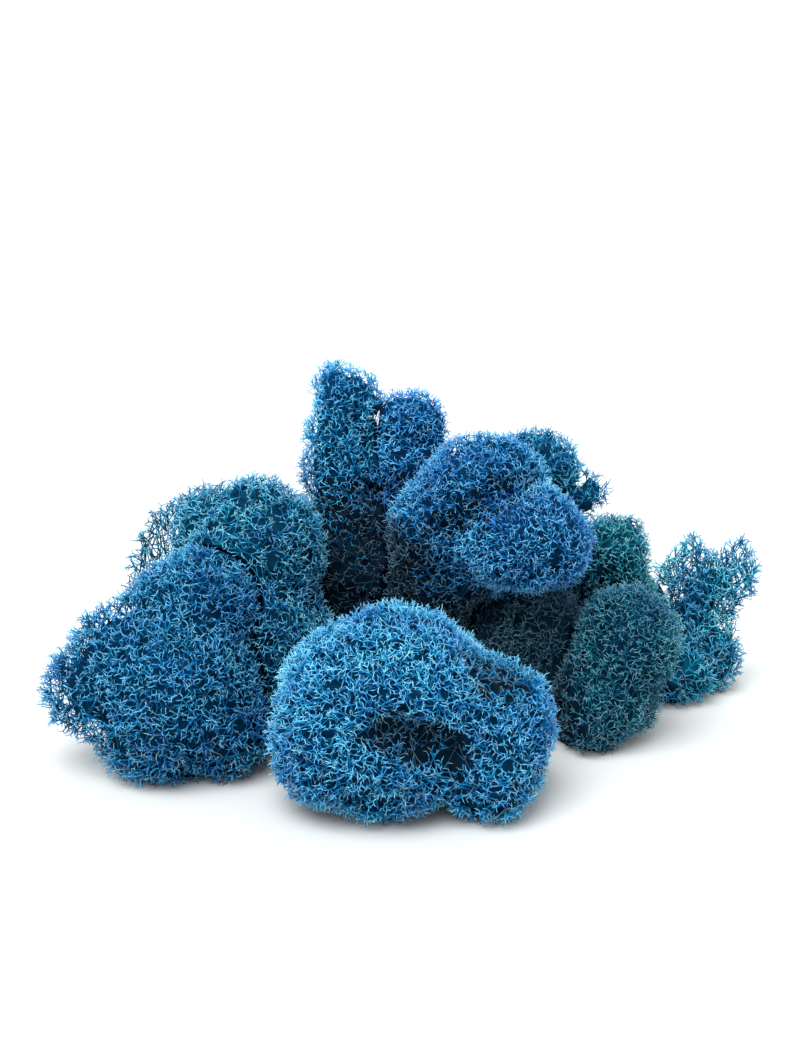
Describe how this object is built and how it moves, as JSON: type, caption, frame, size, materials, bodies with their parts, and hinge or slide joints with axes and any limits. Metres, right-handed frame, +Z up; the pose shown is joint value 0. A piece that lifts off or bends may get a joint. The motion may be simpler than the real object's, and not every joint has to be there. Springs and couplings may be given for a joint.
{
  "type": "moss clump",
  "caption": "Clump of rounded and finger-like heads of preserved blue reindeer lichen, grown into each other, resting on a flat surface.",
  "frame": {"origin": "middle of the clump's bounding box, on the surface that it rests on", "axes": "+Z up, +X to the right along the clump's length as seen from its front, -Y towards the front"},
  "size_m": [0.1882, 0.1276, 0.0936],
  "materials": {
    "bright_blue_lichen": "matte, dry, finely branched, dyed bright blue",
    "deep_blue_lichen": "matte, dry, finely branched, dyed deep blue",
    "teal_lichen": "matte, dry, finely branched, dyed teal blue",
    "dark_teal_lichen": "matte, dry, finely branched, dyed dark teal"
  },
  "bodies": {
    "root": {"front_head": "bright_blue_lichen", "left_head": "bright_blue_lichen", "centre_head": "deep_blue_lichen", "right_head": "teal_lichen", "left_back_head": "teal_lichen", "shaded_head": "dark_teal_lichen", "tall_left_finger": "bright_blue_lichen", "tall_right_finger": "deep_blue_lichen", "upper_right_head": "teal_lichen", "rear_head": "teal_lichen", "back_left_wisps": "teal_lichen", "far_right_sprig": "bright_blue_lichen"}
  },
  "joints": []
}
